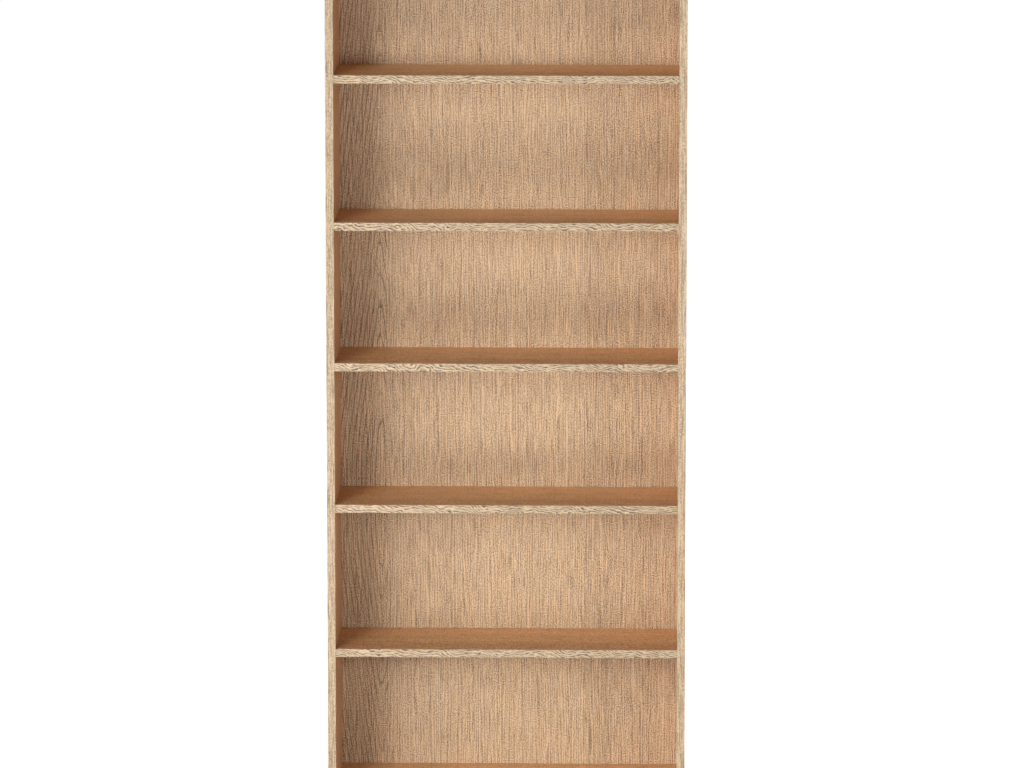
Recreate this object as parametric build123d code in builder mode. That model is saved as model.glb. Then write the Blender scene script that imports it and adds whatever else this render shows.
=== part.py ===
from build123d import *
import os

# A tall flat-pack bookcase: two sides, three fixed boards, adjustable shelves on pins and a thin back.
# Millimetres. X runs from left to right, -Y is the open front, and Z = 0 is the floor.
# The origin is under the middle of the case.

# ---- Case ----
case_width = 800.0  # over both sides
case_depth = 280.0  # from the front edges to the rear edges of the sides
case_height = 2020.0  # from the floor to the top of the sides
board = 18.0  # thickness of the sides, shelves, panels and plinth
strip = 1.0  # thickness of the strip glued to each front edge
strip_round = 0.4  # rounding of a strip's long outer edges
blind_skin = 6.0  # wood left under every blind hole in a side

# ---- Base ----
bottom_top = 80.0  # floor to the top face of the bottom panel
plinth_setback = 12.0  # front edges to the plinth's face
glide_height = 3.0
glide_radius = 8.0
glide_inset = 25.0  # front or rear end of a side's foot to the glide's centre
glide_nail_radius = 1.0
glide_nail_length = 14.0
skirting_depth = 15.0  # cut-out in the sides for the skirting board of the room

# ---- Back ----
back_thickness = 4.0
back_inset = 11.0  # rear edges of the sides to the back panel
back_top_gap = 2.0  # top of the back panel below the top of the sides
groove_depth = 8.0
groove_play = 0.2  # groove width beyond the back panel's thickness
groove_end_gap = 0.5  # back panel's edge to the floor of the groove
nail_radius = 0.8
nail_length = 16.0
nail_head_radius = 2.0
nail_head_height = 0.8
nail_pitch = 180.0
nail_margin = 20.0  # least distance from a nail to the end of its board

# ---- Shelves ----
first_rise = 315.0  # floor of a bay to the top face of its first adjustable shelf
shelf_pitch = 327.3  # from there to the top face of the next one
least_headroom = 100.0  # a shelf is left out where less room than this is above it
shelf_end_gap = 0.5  # shelf end to side
shelf_back_gap = 2.0  # shelf to back panel

# ---- Shelf pins and their holes ----
row_inset = 37.0  # front edges, or back panel, to the nearest row of holes
hole_pitch = 32.0
holes_each_way = 3  # holes above and below the one that a shelf's pin is in
hole_margin = 30.0  # least distance from a pin hole to a fixed board
pin_hole_radius = 2.5
pin_play = 0.05  # radial play of a pin in its hole
pin_end_gap = 1.0  # inner end of a pin to the bottom of its hole
nose_radius = 3.5
nose_flat = 2.7  # pin axis to the flat on its nose that the shelf lies on
nose_length = 9.0
nose_chamfer = 0.5
pin_pull = 0.5  # travel of a pin beyond the length that is in its hole
pocket_side_play = 0.5  # nose to the side walls of its pocket
pocket_drop = 0.3  # shelf underside below the nose
pocket_end_play = 1.0  # pocket beyond the nose when its pin is pulled out

# ---- Cam fittings and dowels ----
cam_distance = 34.0  # inner face of a side to the centre of a cam
cam_radius = 7.5
cam_play = 0.1
cam_reach = 4.0  # depth of a cam beyond the bolt's axis
cam_chamber_radius = 5.0
cam_slot_depth = 1.6
cam_slot_length = 8.0
driver_slot_width = 1.2  # width of every cross slot for a screwdriver
bolt_thread_radius = 2.5
bolt_collar_radius = 3.5
bolt_collar_length = 2.5
bolt_shaft_radius = 2.5
bolt_neck_radius = 2.0
bolt_neck_length = 8.0
bolt_head_radius = 3.2
bolt_head_length = 2.5
bolt_bore_radius = 4.0
bolt_play = 0.4  # bolt to the walls of the cam
hole_end_gap = 0.5  # inner end of a bolt or dowel to the bottom of its hole
dowel_radius = 4.0
dowel_in_board = 19.0
dowel_chamfer = 1.0
dowel_offset = 32.0  # cam bolt to the dowel beside it
plinth_dowel_inset = 16.0  # plinth's upper or lower edge to a dowel

# ---- Wall bracket ----
bracket_thickness = 2.0
bracket_width = 44.0
bracket_rise = 35.0
bracket_bend = 2.0  # inside radius of the bend
bracket_corner = 5.0
bracket_overlap = 26.0  # length of the foot that lies on the top panel
wall_hole_radius = 2.75
wall_hole_height = 22.0  # above the top panel
screw_pitch = 24.0
screw_radius = 2.0
screw_length = 14.0
screw_head_radius = 3.8
screw_head_height = 1.8
screw_play = 0.3

# ---- Places that follow from the sizes ----
half_width = case_width / 2
inner_x = half_width - board
front_y = -case_depth / 2
rear_y = case_depth / 2
board_front_y = front_y + strip
back_y = rear_y - back_inset - back_thickness
rows = (front_y + row_inset, back_y - row_inset)
dowel_rows = (rows[0] + dowel_offset, rows[1] - dowel_offset)
side_hole_depth = board - blind_skin
groove_width = back_thickness + groove_play
middle_top = (bottom_top + case_height - board) / 2
bottom_under = bottom_top - board
fixed_tops = {"bottom_panel": bottom_top, "fixed_shelf": middle_top, "top_panel": case_height}
bays = ((bottom_top, middle_top - board), (middle_top, case_height - board))
sides = {"left": -1, "right": 1}

plinth_y = front_y + plinth_setback + board / 2
plinth_dowels = [
    (plinth_y, glide_height + plinth_dowel_inset),
    (plinth_y, bottom_under - plinth_dowel_inset),
]
glide_x = half_width - board / 2
glide_rows = (front_y + glide_inset, rear_y - skirting_depth - glide_inset)
cam_depth = board / 2 + cam_reach
screw_y = back_y - bracket_overlap / 2
screw_places = [(-screw_pitch / 2, screw_y), (screw_pitch / 2, screw_y)]

pin_length = side_hole_depth - pin_end_gap
pin_travel = pin_length + pin_pull
pocket_height = nose_flat + nose_radius + pocket_drop
pocket_width = 2 * (nose_radius + pocket_side_play)
pocket_length = nose_length + pin_travel + pocket_end_play - shelf_end_gap
pin_below_top = board - pocket_height + nose_flat

os.makedirs("parts", exist_ok=True)


def save(piece, name):
    """Labels a finished piece and writes it as parts/NAME.step."""
    piece.label = name
    export_step(piece, f"parts/{name}.step")


def seat(side, y, z):
    """A plane on a side's inner face, with its normal pointing into the case."""
    return Plane(origin=(side * inner_x, y, z), x_dir=(0, -side, 0), z_dir=(-side, 0, 0))


def both_sides(places):
    """Seats on both sides at each (y, z) place."""
    return [seat(side, y, z) for side in sides.values() for y, z in places]


def shelf_tops(floor, ceiling):
    """Heights of the top faces of the adjustable shelves that one bay has room for."""
    count = 1 + int((ceiling - floor - first_rise - least_headroom) // shelf_pitch)
    return [floor + first_rise + shelf_pitch * i for i in range(count)]


def pin_hole_heights():
    """Heights of the pin holes: a group round each shelf, clear of the fixed boards."""
    heights = set()
    for floor, ceiling in bays:
        for top in shelf_tops(floor, ceiling):
            for step in range(-holes_each_way, holes_each_way + 1):
                height = top - pin_below_top + step * hole_pitch
                if floor + hole_margin < height < ceiling - hole_margin:
                    heights.add(height)
    return sorted(heights)


def nail_places():
    """Places across the case of the nails in one row, outwards from the one in the middle."""
    each_way = int((inner_x - nail_margin) // nail_pitch)
    return [nail_pitch * i for i in range(-each_way, each_way + 1)]


def board_holes(top):
    """The (y, z) places of the bolts and of the dowels at each end of a fixed board."""
    middle = top - board / 2
    return [(y, middle) for y in rows], [(y, middle) for y in dowel_rows]


# ---- Sides ----
def side_panel(name, side):
    """A side, drilled on its inner face, with the back's groove and the skirting cut-out."""
    face = Plane.YZ.offset(side * inner_x)
    with BuildPart() as panel:
        with BuildSketch(face):
            with BuildLine():
                Polyline(
                    (board_front_y, glide_height),
                    (rear_y - skirting_depth, glide_height),
                    (rear_y - skirting_depth, bottom_under),
                    (rear_y, bottom_under),
                    (rear_y, case_height),
                    (board_front_y, case_height),
                    close=True,
                )
            make_face()
        extrude(amount=side * board)
        with BuildSketch(face):
            with Locations((back_y, bottom_under)):
                Rectangle(groove_width, case_height - bottom_under, align=(Align.MIN, Align.MIN))
        extrude(amount=side * groove_depth, mode=Mode.SUBTRACT)
        with BuildSketch(face):
            with Locations(*[(y, z) for y in rows for z in pin_hole_heights()]):
                Circle(pin_hole_radius)
        extrude(amount=side * side_hole_depth, mode=Mode.SUBTRACT)
        with BuildSketch(face):
            for top in fixed_tops.values():
                bolts, dowels = board_holes(top)
                with Locations(*bolts):
                    Circle(bolt_thread_radius)
                with Locations(*dowels):
                    Circle(dowel_radius)
            with Locations(*plinth_dowels):
                Circle(dowel_radius)
        extrude(amount=side * side_hole_depth, mode=Mode.SUBTRACT)
        with BuildSketch(Plane.XY.offset(glide_height)):
            with Locations(*[(side * glide_x, y) for y in glide_rows]):
                Circle(glide_nail_radius)
        extrude(amount=glide_nail_length, mode=Mode.SUBTRACT)
    save(panel.part, name)


for side_name, side_sign in sides.items():
    side_panel(f"side_{side_name}", side_sign)


# ---- Front edge strips ----
def front_strip(name, x_range, z_range):
    """The strip on one board's front edge, with its long outer edges rounded."""
    with BuildPart() as edge:
        with BuildSketch(Plane.XZ.offset(-board_front_y)):
            with Locations((x_range[0], z_range[0])):
                Rectangle(x_range[1] - x_range[0], z_range[1] - z_range[0], align=(Align.MIN, Align.MIN))
        extrude(amount=strip)
        long_way = Axis.X if x_range[1] - x_range[0] > z_range[1] - z_range[0] else Axis.Z
        outer = edge.faces().sort_by(Axis.Y)[0].edges().filter_by(long_way)
        fillet(outer, min(strip_round, 0.9 * strip))
    save(edge.part, name)


for side_name, side_sign in sides.items():
    strip_x = sorted((side_sign * inner_x, side_sign * half_width))
    front_strip(f"side_{side_name}_edge", strip_x, (glide_height, case_height))
for board_name, top in fixed_tops.items():
    front_strip(f"{board_name}_edge", (-inner_x, inner_x), (top - board, top))


# ---- Fixed boards ----
def cam_face(top, cams_on_top):
    """Height of the board face that the cams are set in, and its outward direction in Z."""
    return (top, 1) if cams_on_top else (top - board, -1)


def cam_planes(top, cams_on_top):
    """Planes on the face of a cam, centred on it, with X pointing to the near side of the case."""
    height, up = cam_face(top, cams_on_top)
    return [
        Plane(origin=(side * (inner_x - cam_distance), y, height), x_dir=(side, 0, 0), z_dir=(0, 0, up))
        for side in sides.values()
        for y in rows
    ]


def fixed_board(name, top, cams_on_top, has_bracket):
    """A board between the sides, bored for its cams, bolts, dowels and nails."""
    bolts, dowels = board_holes(top)
    with BuildPart() as panel:
        with BuildSketch(Plane.XY.offset(top - board)):
            with Locations((0, board_front_y)):
                Rectangle(2 * inner_x, back_y - board_front_y, align=(Align.CENTER, Align.MIN))
        extrude(amount=board)
        with BuildSketch(*cam_planes(top, cams_on_top)):
            Circle(cam_radius + cam_play)
        extrude(amount=-cam_depth, mode=Mode.SUBTRACT)
        with BuildSketch(*both_sides(bolts)):
            Circle(bolt_bore_radius)
        extrude(amount=cam_distance, mode=Mode.SUBTRACT)
        with BuildSketch(*both_sides(dowels)):
            Circle(dowel_radius)
        extrude(amount=dowel_in_board + hole_end_gap, mode=Mode.SUBTRACT)
        with BuildSketch(Plane.XZ.offset(-back_y)):
            with Locations(*[(x, top - board / 2) for x in nail_places()]):
                Circle(nail_radius)
        extrude(amount=nail_length - back_thickness, mode=Mode.SUBTRACT)
        if has_bracket:
            with BuildSketch(Plane.XY.offset(top)):
                with Locations(*screw_places):
                    Circle(screw_radius)
            extrude(amount=bracket_thickness - screw_length, mode=Mode.SUBTRACT)
    save(panel.part, name)


for board_name, top in fixed_tops.items():
    is_top = board_name == "top_panel"
    fixed_board(board_name, top, cams_on_top=is_top, has_bracket=is_top)


# ---- Plinth ----
with BuildPart() as plinth:
    with BuildSketch(Plane.XY.offset(glide_height)):
        with Locations((0, plinth_y)):
            Rectangle(2 * inner_x, board)
    extrude(amount=bottom_under - glide_height)
    with BuildSketch(*both_sides(plinth_dowels)):
        Circle(dowel_radius)
    extrude(amount=dowel_in_board + hole_end_gap, mode=Mode.SUBTRACT)
save(plinth.part, "plinth")


# ---- Adjustable shelves ----
def adjustable_shelf(name, top):
    """A loose shelf, with a pocket in its underside for the nose of each pin."""
    half_length = inner_x - shelf_end_gap
    depth = back_y - shelf_back_gap - board_front_y
    with BuildPart() as shelf:
        with BuildSketch(Plane.XY.offset(top - board)):
            with Locations((0, board_front_y)):
                Rectangle(2 * half_length, depth, align=(Align.CENTER, Align.MIN))
        extrude(amount=board)
        with BuildSketch(Plane.XY.offset(top - board)):
            with Locations(*[(side * half_length, y) for side in sides.values() for y in rows]):
                Rectangle(2 * pocket_length, pocket_width)
        extrude(amount=pocket_height, mode=Mode.SUBTRACT)
    save(shelf.part, name)
    front_strip(f"{name}_edge", (-half_length, half_length), (top - board, top))


# ---- Shelf pins ----
def shelf_pin(name, side, y, z):
    """A pin in a side's hole, with a flat on its nose for the shelf to lie on."""
    base = seat(side, y, z)
    with BuildPart() as pin:
        with BuildSketch(base):
            Circle(pin_hole_radius - pin_play)
        extrude(amount=-pin_length)
        with BuildSketch(base):
            Circle(nose_radius)
            with Locations((0, nose_flat)):
                Rectangle(2 * nose_radius, nose_radius, align=(Align.CENTER, Align.MIN), mode=Mode.SUBTRACT)
        extrude(amount=nose_length)
        ends = pin.faces().filter_by(Axis.X).sort_by(Axis.X)
        chamfer(ends[0].edges() + ends[-1].edges(), nose_chamfer)
    save(pin.part, name)


all_tops = [top for floor, ceiling in bays for top in shelf_tops(floor, ceiling)]
for number, top in enumerate(all_tops, start=1):
    adjustable_shelf(f"adjustable_shelf_{number}", top)
    for side_name, side_sign in sides.items():
        for row_name, y in zip(("front", "rear"), rows):
            shelf_pin(f"shelf_{number}_pin_{side_name}_{row_name}", side_sign, y, top - pin_below_top)


# ---- Back panel and its nails ----
back_half_width = inner_x + groove_depth - groove_end_gap
back_height = case_height - back_top_gap - bottom_under
nails = [(x, top - board / 2) for top in fixed_tops.values() for x in nail_places()]
with BuildPart() as back_panel:
    with BuildSketch(Plane.XZ.offset(-back_y)):
        with Locations((0, bottom_under)):
            Rectangle(2 * back_half_width, back_height, align=(Align.CENTER, Align.MIN))
    extrude(amount=-back_thickness)
    with BuildSketch(Plane.XZ.offset(-back_y)):
        with Locations(*nails):
            Circle(nail_radius)
    extrude(amount=-back_thickness, mode=Mode.SUBTRACT)
save(back_panel.part, "back_panel")

with BuildPart() as back_nails:
    with BuildSketch(Plane.XZ.offset(-back_y - back_thickness)):
        with Locations(*nails):
            Circle(nail_radius)
    extrude(amount=nail_length)
    with BuildSketch(Plane.XZ.offset(-back_y - back_thickness)):
        with Locations(*nails):
            Circle(nail_head_radius)
    extrude(amount=-nail_head_height)
save(back_nails.part, "back_nails")


# ---- Cam bolts, cam locks and dowels ----
bolt_head_start = cam_distance - bolt_head_length
bolt_steps = (
    (hole_end_gap - side_hole_depth, 0.0, bolt_thread_radius),
    (0.0, bolt_collar_length, bolt_collar_radius),
    (bolt_collar_length, bolt_head_start - bolt_neck_length, bolt_shaft_radius),
    (bolt_head_start - bolt_neck_length, bolt_head_start, bolt_neck_radius),
    (bolt_head_start, cam_distance, bolt_head_radius),
)


def cam_bolts(name, places):
    """The bolts that screw into the sides and reach into the cams of one board."""
    with BuildPart() as bolts:
        for start, end, radius in bolt_steps:
            with BuildSketch(*[place.offset(start) for place in both_sides(places)]):
                Circle(radius)
            extrude(amount=end - start)
    save(bolts.part, name)


def cam_locks(name, top, cams_on_top):
    """The cams of one board: each has a chamber and a jaw for a bolt's head, and a cross slot."""
    planes = cam_planes(top, cams_on_top)
    chamber_start = board / 2 - bolt_head_radius - bolt_play
    jaw_start = board / 2 - bolt_neck_radius - bolt_play
    jaw_width = 2 * (bolt_neck_radius + bolt_play)
    with BuildPart() as cams:
        with BuildSketch(*planes):
            Circle(cam_radius)
        extrude(amount=-cam_depth)
        with BuildSketch(*[place.offset(-cam_depth) for place in planes]):
            Circle(cam_chamber_radius)
        extrude(amount=cam_depth - chamber_start, mode=Mode.SUBTRACT)
        with BuildSketch(*[place.offset(-cam_depth) for place in planes]):
            Rectangle(2 * cam_radius, jaw_width, align=(Align.MIN, Align.CENTER))
        extrude(amount=cam_depth - jaw_start, mode=Mode.SUBTRACT)
        with BuildSketch(*planes):
            Rectangle(cam_slot_length, driver_slot_width)
            Rectangle(driver_slot_width, cam_slot_length)
        extrude(amount=-cam_slot_depth, mode=Mode.SUBTRACT)
    save(cams.part, name)


def dowels_in(name, places):
    """Dowels between the sides and one board, chamfered at both ends."""
    start = hole_end_gap - side_hole_depth
    with BuildPart() as dowels:
        with BuildSketch(*[place.offset(start) for place in both_sides(places)]):
            Circle(dowel_radius)
        extrude(amount=dowel_in_board - start)
        chamfer(dowels.edges().filter_by(GeomType.CIRCLE), dowel_chamfer)
    save(dowels.part, name)


for board_name, top in fixed_tops.items():
    bolts, dowels = board_holes(top)
    cam_bolts(f"{board_name}_cam_bolts", bolts)
    cam_locks(f"{board_name}_cam_locks", top, cams_on_top=board_name == "top_panel")
    dowels_in(f"{board_name}_dowels", dowels)
dowels_in("plinth_dowels", plinth_dowels)


# ---- Wall bracket ----
foot_front_y = back_y - bracket_overlap
with BuildPart() as wall_bracket:
    with BuildSketch(Plane.YZ):
        with BuildLine():
            outer = FilletPolyline(
                (foot_front_y, case_height),
                (rear_y, case_height),
                (rear_y, case_height + bracket_rise),
                radius=bracket_bend + bracket_thickness,
            )
            inner = FilletPolyline(
                (foot_front_y, case_height + bracket_thickness),
                (rear_y - bracket_thickness, case_height + bracket_thickness),
                (rear_y - bracket_thickness, case_height + bracket_rise),
                radius=bracket_bend,
            )
            Line(outer @ 0, inner @ 0)
            Line(outer @ 1, inner @ 1)
        make_face()
    extrude(amount=bracket_width / 2, both=True)
    foot_corners = wall_bracket.edges().filter_by(Axis.Z).group_by(Axis.Y)[0]
    leg_corners = wall_bracket.edges().filter_by(Axis.Y).group_by(Axis.Z)[-1]
    fillet(foot_corners + leg_corners, bracket_corner)
    with BuildSketch(Plane.XY.offset(case_height)):
        with Locations(*screw_places):
            Circle(screw_radius + screw_play)
    extrude(amount=bracket_thickness, mode=Mode.SUBTRACT)
    with BuildSketch(Plane.XZ.offset(-rear_y)):
        with Locations((0, case_height + wall_hole_height)):
            Circle(wall_hole_radius)
    extrude(amount=bracket_thickness, mode=Mode.SUBTRACT)
save(wall_bracket.part, "wall_bracket")

screw_seat = Plane.XY.offset(case_height + bracket_thickness)
with BuildPart() as bracket_screws:
    with BuildSketch(screw_seat):
        with Locations(*screw_places):
            Circle(screw_radius)
    extrude(amount=-screw_length)
    with BuildSketch(screw_seat):
        with Locations(*screw_places):
            Circle(screw_head_radius)
    extrude(amount=screw_head_height)
    heads = bracket_screws.faces().sort_by(Axis.Z)[-2:]
    fillet(heads.edges(), screw_head_height / 2)
    with BuildSketch(screw_seat.offset(screw_head_height)):
        with Locations(*screw_places):
            Rectangle(screw_head_radius, driver_slot_width)
            Rectangle(driver_slot_width, screw_head_radius)
    extrude(amount=-screw_head_height / 2, mode=Mode.SUBTRACT)
save(bracket_screws.part, "wall_bracket_screws")


# ---- Floor glides ----
def floor_glide(name, x, y):
    """A round plastic foot with its nail, driven into the foot of a side."""
    with BuildPart() as glide:
        with BuildSketch(Plane.XY):
            with Locations((x, y)):
                Circle(glide_radius)
        extrude(amount=glide_height)
        fillet(glide.edges().filter_by(GeomType.CIRCLE).sort_by(Axis.Z)[0], glide_height / 3)
        with BuildSketch(Plane.XY.offset(glide_height)):
            with Locations((x, y)):
                Circle(glide_nail_radius)
        extrude(amount=glide_nail_length - hole_end_gap)
    save(glide.part, name)


for side_name, side_sign in sides.items():
    for row_name, y in zip(("front", "rear"), glide_rows):
        floor_glide(f"glide_{side_name}_{row_name}", side_sign * glide_x, y)
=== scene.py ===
"""Looks of a tall bookcase with adjustable shelves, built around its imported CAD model.

Places are in metres in the CAD's own frame: X from left to right, -Y the open front, Z up from the floor.
Patterns are drawn in millimetres, because that is how veneer, pores and wood chips are measured.
"""

import logging
import math
from dataclasses import dataclass
from enum import Enum
from typing import Any, NamedTuple

import bpy
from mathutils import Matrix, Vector


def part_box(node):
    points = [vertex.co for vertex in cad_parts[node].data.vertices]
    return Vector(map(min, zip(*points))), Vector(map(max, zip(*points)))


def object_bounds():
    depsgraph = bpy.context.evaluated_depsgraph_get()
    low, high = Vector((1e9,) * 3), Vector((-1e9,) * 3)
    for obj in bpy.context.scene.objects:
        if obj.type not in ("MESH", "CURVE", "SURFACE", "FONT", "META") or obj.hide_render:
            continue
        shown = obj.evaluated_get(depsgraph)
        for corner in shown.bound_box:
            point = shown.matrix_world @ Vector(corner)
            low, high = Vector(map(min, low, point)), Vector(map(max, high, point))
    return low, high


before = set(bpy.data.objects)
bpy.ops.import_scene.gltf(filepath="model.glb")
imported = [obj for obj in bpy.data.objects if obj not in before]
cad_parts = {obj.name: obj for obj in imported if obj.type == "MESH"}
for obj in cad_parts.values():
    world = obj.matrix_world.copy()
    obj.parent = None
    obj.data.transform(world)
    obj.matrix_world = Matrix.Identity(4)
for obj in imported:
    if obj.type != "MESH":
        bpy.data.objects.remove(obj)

CAD_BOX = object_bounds()
MM_PER_M = 1000.0

# What a soft pattern is on average.
PATTERN_MIDDLE = 0.5
# How far a piece's seed moves its patterns across, along and through it, in spots.
PIECE_STEPS = (7.3, 3.1, 11.7)
# How far a pattern's own seed moves it through the piece, in spots.
PATTERN_STEP = 5.3
# How much of each finer pattern is laid over a soft one.
FINER_SHARE = 0.6
# From where a mark starts to fade in, to where it is whole, beside the value at which its pattern is cut.
MARK_FADE = (-0.05, 0.1)
# How strongly a relief turns the light.
BUMP_STRENGTH = 0.5

# How high the face of lacquered wood lies in its relief, and how its cut pores differ from it.
FACE_LEVEL = 0.6
PORE_LOWER = -0.6
PORE_ROUGHER = 0.2

log = logging.getLogger("bookcase")


# ---- Colours and nodes ----


def linear(hex_colour: str) -> tuple[float, float, float, float]:
    """Turns an sRGB hex colour to the linear one that a shader takes.

    Args:
        hex_colour: A colour such as "#C9A381".

    Returns:
        Linear red, green, blue and an alpha of 1.
    """
    parts = [int(hex_colour[i : i + 2], 16) / 255 for i in (1, 3, 5)]
    return (*((c / 12.92 if c <= 0.04045 else ((c + 0.055) / 1.055) ** 2.4) for c in parts), 1.0)


def output_of(value: Any) -> Any:
    """Gives the first output in use of a node, and any other value as it is.

    Args:
        value: A node, an output or a plain value.

    Returns:
        The output or the plain value.
    """
    if isinstance(value, bpy.types.Node):
        return next(socket for socket in value.outputs if socket.enabled)
    return value


def add_node(
    tree: bpy.types.NodeTree, kind: str, inputs: dict[Any, Any] | None = None, **settings: Any
) -> bpy.types.Node:
    """Adds a node to a tree, with its settings, its input values and its links.

    Args:
        tree: The tree that gets the node.
        kind: Blender's name of the node type.
        inputs: What goes into each input, by its name or its number among those in use: a plain value, an
            output, or a node, which stands for its first output.
        settings: The node's own properties, such as operation or data_type.

    Returns:
        The new node.
    """
    node = tree.nodes.new(kind)
    for name, value in settings.items():
        setattr(node, name, value)
    in_use = [socket for socket in node.inputs if socket.enabled]
    for key, given in (inputs or {}).items():
        socket = in_use[key] if isinstance(key, int) else next(s for s in in_use if s.name == key)
        value = output_of(given)
        if isinstance(value, bpy.types.NodeSocket):
            tree.links.new(value, socket)
        else:
            socket.default_value = value
    return node


def seen_directly(tree: bpy.types.NodeTree, level: float) -> Any:
    """A level for what the camera sees by itself, in a mirror or through glass, and 0 for light.

    Args:
        tree: The tree that gets the nodes.
        level: The level for those rays.

    Returns:
        The node that holds the level.
    """
    path = add_node(tree, "ShaderNodeLightPath")
    seen: Any = path.outputs["Is Camera Ray"]
    for name in ("Is Glossy Ray", "Is Transmission Ray"):
        seen = add_node(tree, "ShaderNodeMath", {0: seen, 1: path.outputs[name]}, operation="MAXIMUM")
    return add_node(tree, "ShaderNodeMath", {0: seen, 1: level}, operation="MULTIPLY")


class Lay(Enum):
    """How a piece lies: the axis along its grain, the one across it and the one through the piece."""

    SIDE = "ZYX"  # upright, seen from the left or right
    BACK = "ZXY"  # upright, seen from the front
    SHELF = "XYZ"  # level, seen from above
    RAIL = "XZY"  # on edge from side to side, seen from the front


@dataclass(frozen=True)
class Place:
    """Where a piece is and how its grain runs, which is all that a finish needs to know of it."""

    lay: Lay
    low: Vector
    high: Vector
    seed: float

    @classmethod
    def of_node(cls, node: str, lay: Lay, seed: float = 0.0) -> "Place":
        """Takes the place of a CAD node from the frame.

        Args:
            node: The node's name.
            lay: How the piece lies.
            seed: Shifts the random patterns, so that no two boards look the same.

        Returns:
            The node's place at rest.
        """
        low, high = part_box(node)
        return cls(lay, low, high, seed)

    @property
    def middle(self) -> Vector:
        """The middle of the piece, in millimetres."""
        return (self.low + self.high) / 2 * MM_PER_M

    def span(self, letter: str) -> float:
        """The size of the piece along the axis with that letter, in millimetres."""
        axis = "XYZ".index(letter)
        return (self.high[axis] - self.low[axis]) * MM_PER_M


@dataclass(frozen=True)
class Spots:
    """A soft random pattern of light and dark spots, with the size of a spot in millimetres."""

    wide: float  # across the grain
    long: float  # along the grain
    seed: float  # tells the pattern from the others on the same piece
    weight: float = 1.0  # how much of it is added up with other patterns
    detail: float = 2.0  # how many finer patterns are laid over it
    deep: float = 1e6  # through the piece, so that veneer is the same all through


class Layer(NamedTuple):
    """One kind of surface, as outputs of nodes: its colour, its roughness and how its relief rises."""

    colour: Any
    roughness: Any
    relief: Any


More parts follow.
